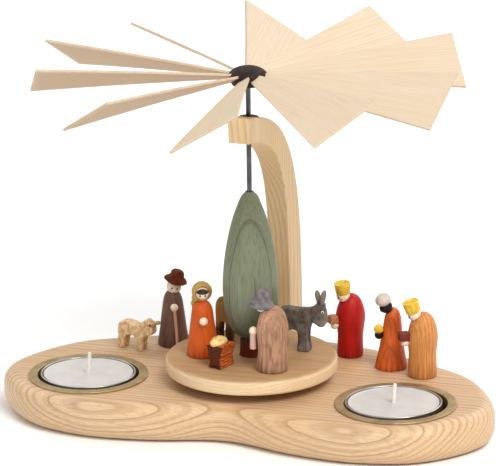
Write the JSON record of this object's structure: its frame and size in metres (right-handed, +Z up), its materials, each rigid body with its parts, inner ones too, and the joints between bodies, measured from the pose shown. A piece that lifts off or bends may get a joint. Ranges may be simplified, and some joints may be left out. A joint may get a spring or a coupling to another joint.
{
  "type": "christmas pyramid",
  "caption": "Small wooden candle pyramid: a bean-shaped board with tealights and an arm that guides a spindle, whose paddled rotor turns a disc with a tree and nativity figures.",
  "frame": {"origin": "on the axis of the spindle, at the underside of the board", "axes": "+X from the left tealight to the right one, +Y from the open front to the foot of the arm, +Z up the spindle"},
  "size_m": [0.2046, 0.171, 0.1522],
  "materials": {
    "ash": "clear-lacquered ash with open grain",
    "maple": "clear-lacquered fine-grained maple",
    "veneer": "bare sawn lime, matt",
    "steel": "drawn steel wire, satin",
    "cup_metal": "thin stamped metal with a golden-olive lacquer",
    "aluminium": "thin drawn aluminium, satin",
    "wax": "white candle wax",
    "green_stain": "green-grey stain over visible grain",
    "dark_brown_stain": "dark brown stain",
    "hub_stain": "dark brown stain, satin",
    "natural_skin": "natural pale wood, matt",
    "black_stain": "black stain",
    "plum_stain": "purple-brown stain",
    "orange_stain": "orange stain over carved wood",
    "ochre_stain": "ochre stain",
    "tan_stain": "light brown stain over carved wood",
    "grey_stain": "grey stain",
    "crimson_stain": "red stain, satin",
    "rust_stain": "rust-orange stain",
    "honey_stain": "honey-brown stain with streaky grain",
    "gold_stain": "golden-yellow stain",
    "white_stain": "off-white stain",
    "rose_stain": "rose-brown stain",
    "dark_red_stain": "dark red stain",
    "chestnut_stain": "chestnut stain with board lines",
    "straw": "pale yellow stain",
    "pink_stain": "pale pink stain",
    "donkey_grey": "dark grey stain",
    "ox_brown": "brown stain",
    "fleece": "bare carved wood, matt"
  },
  "bodies": {
    "base": {"base_board": "ash", "curved_arm": "ash", "arm_screw": "steel", "upper_guide_bush": "dark_brown_stain", "pivot_cup": "cup_metal", "left_tealight_insert": "cup_metal", "right_tealight_insert": "cup_metal", "shepherd_robe": "plum_stain", "shepherd_head": "natural_skin", "shepherd_hat": "dark_brown_stain", "shepherd_hand": "natural_skin", "shepherd_staff": "pink_stain", "king_red_robe": "crimson_stain", "king_red_head": "natural_skin", "king_red_crown": "gold_stain", "king_red_hand": "natural_skin", "king_red_gift": "rose_stain", "king_orange_robe": "rust_stain", "king_orange_head": "black_stain", "king_orange_turban": "white_stain", "king_orange_hand": "black_stain", "king_orange_gift": "gold_stain", "king_tan_robe": "honey_stain", "king_tan_head": "natural_skin", "king_tan_crown": "gold_stain", "king_tan_hand": "natural_skin", "king_tan_gift": "dark_red_stain", "sheep": "fleece"},
    "rotor": {"spindle": "steel", "rotor_hub": "hub_stain", "turntable": "maple", "tree_trunk": "dark_brown_stain", "tree_crown": "green_stain", "mother_robe": "orange_stain", "mother_head": "natural_skin", "mother_headscarf": "ochre_stain", "mother_hand": "natural_skin", "father_robe": "tan_stain", "father_head": "natural_skin", "father_hat": "grey_stain", "father_hand": "natural_skin", "father_staff": "pink_stain", "crib_box": "chestnut_stain", "crib_bundle": "straw", "donkey": "donkey_grey", "ox": "ox_brown", "paddle_01": "veneer", "paddle_02": "veneer", "paddle_03": "veneer", "paddle_04": "veneer", "paddle_05": "veneer", "paddle_06": "veneer", "paddle_07": "veneer", "paddle_08": "veneer", "paddle_09": "veneer", "paddle_10": "veneer"},
    "left_tealight": {"left_tealight_cup": "aluminium", "left_tealight_candle": "wax"},
    "right_tealight": {"right_tealight_cup": "aluminium", "right_tealight_candle": "wax"}
  },
  "joints": [
    {"name": "rotor_spin", "type": "hinge", "parent": "base", "child": "rotor", "pos_m": [0, 0, 0.08], "axis": [0, 0, 1], "continuous": true},
    {"name": "left_tealight_lift", "type": "slide", "parent": "base", "child": "left_tealight", "axis": [0, 0, 1], "range_m": [0, 0.03]},
    {"name": "right_tealight_lift", "type": "slide", "parent": "base", "child": "right_tealight", "axis": [0, 0, 1], "range_m": [0, 0.03]}
  ]
}
